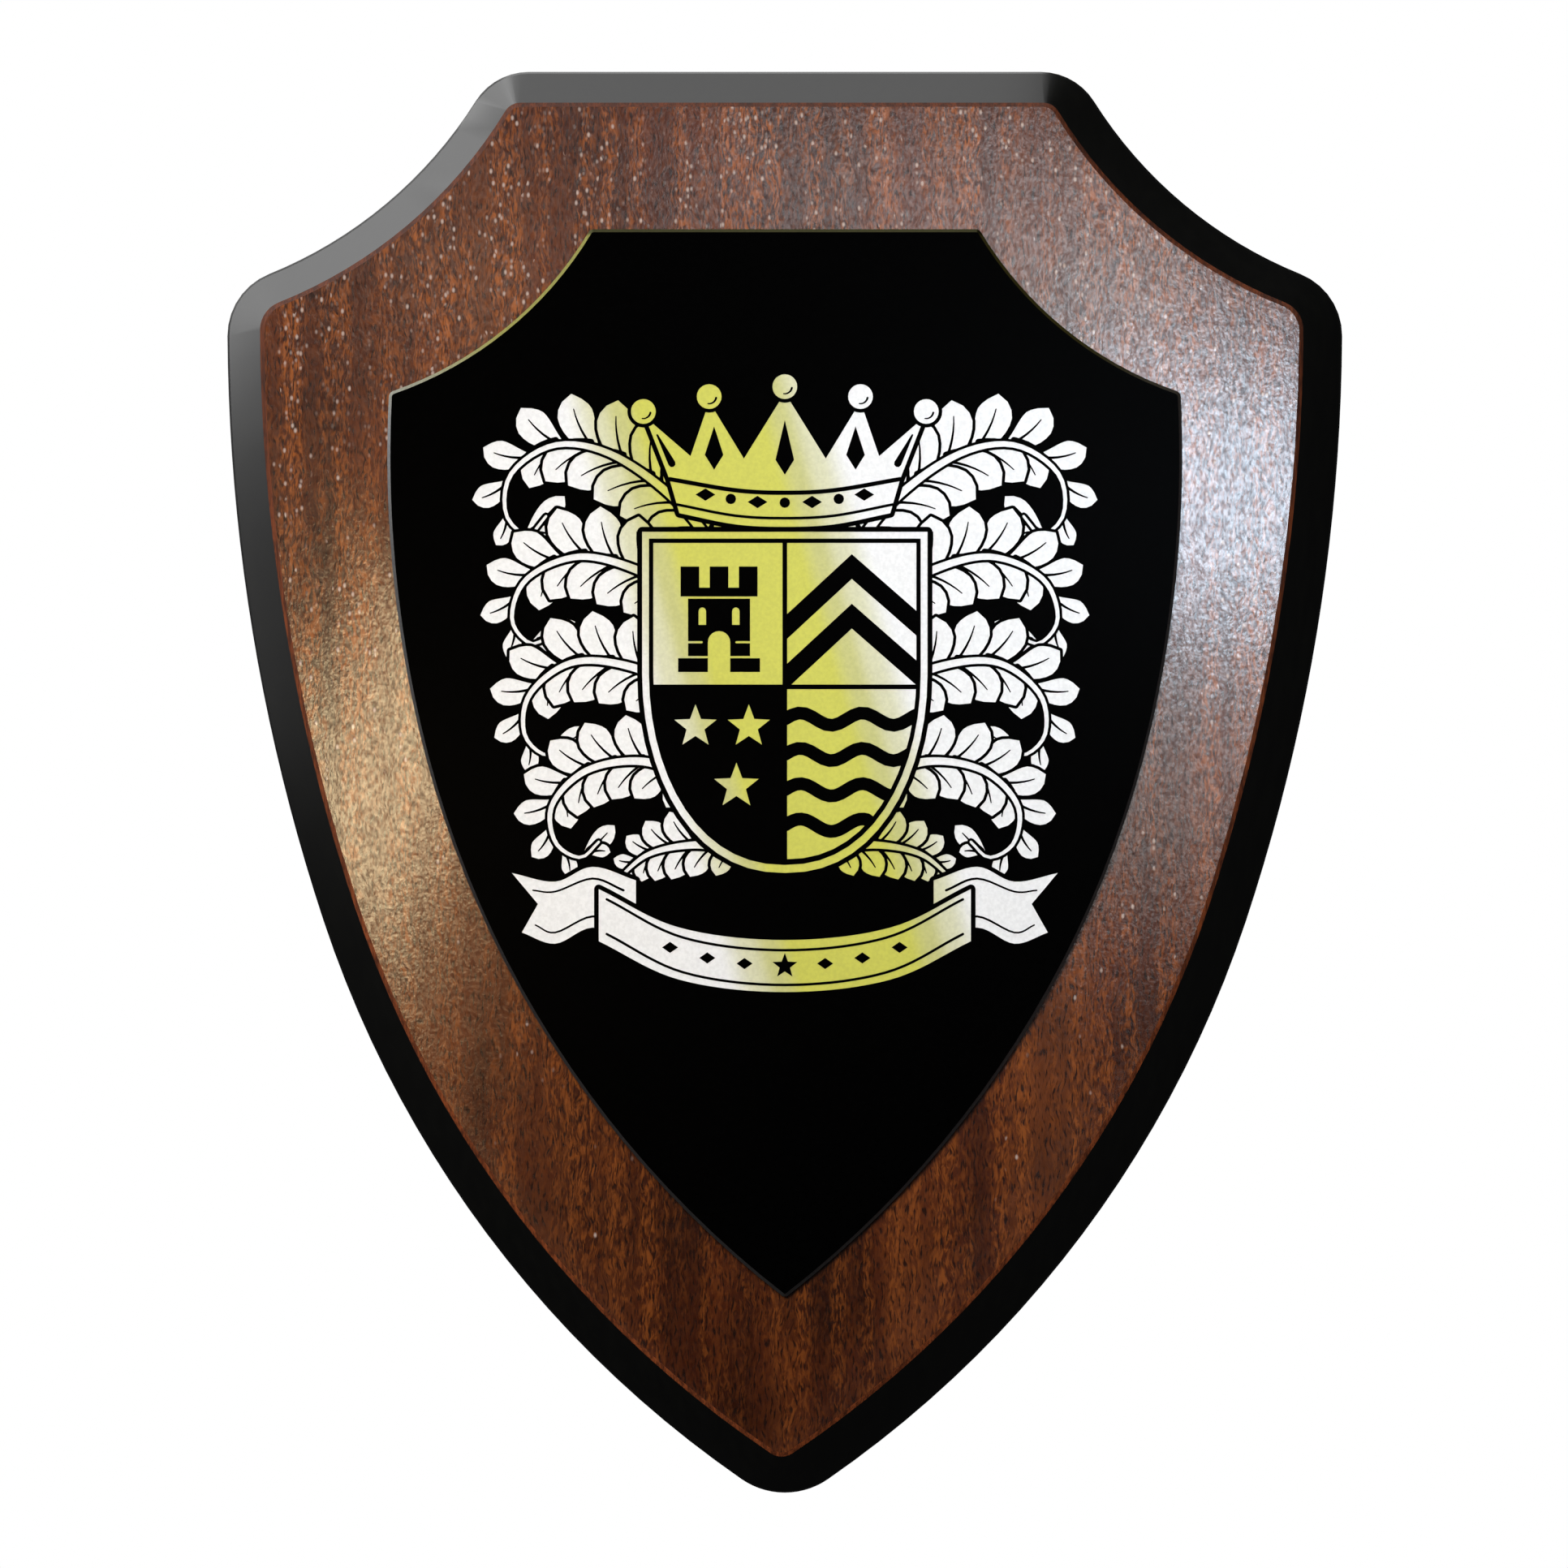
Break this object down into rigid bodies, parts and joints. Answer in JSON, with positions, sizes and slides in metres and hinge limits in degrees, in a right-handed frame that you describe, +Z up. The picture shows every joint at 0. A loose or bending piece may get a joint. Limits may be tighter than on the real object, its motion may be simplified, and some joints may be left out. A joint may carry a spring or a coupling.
{
  "type": "coat of arms wall plaque",
  "caption": "Shield-shaped wooden wall plaque with a bevelled edge, an engraved metal plate on its face and a keyhole hanging slot in its back.",
  "frame": {"origin": "where the wall screw bears: the middle of the keyhole slot's upper round end, in the plane of the board's back", "axes": "+Z up, +X to the right as seen from the front, +Y into the wall; the engraved face looks along -Y"},
  "size_m": [0.1806, 0.0163, 0.2302],
  "materials": {
    "stained_mahogany": "dark stain under gloss lacquer",
    "black_coated_metal": "black gloss coat engraved through to bare metal"
  },
  "bodies": {
    "root": {"shield_board": "stained_mahogany", "face_plate": "black_coated_metal"}
  },
  "joints": []
}
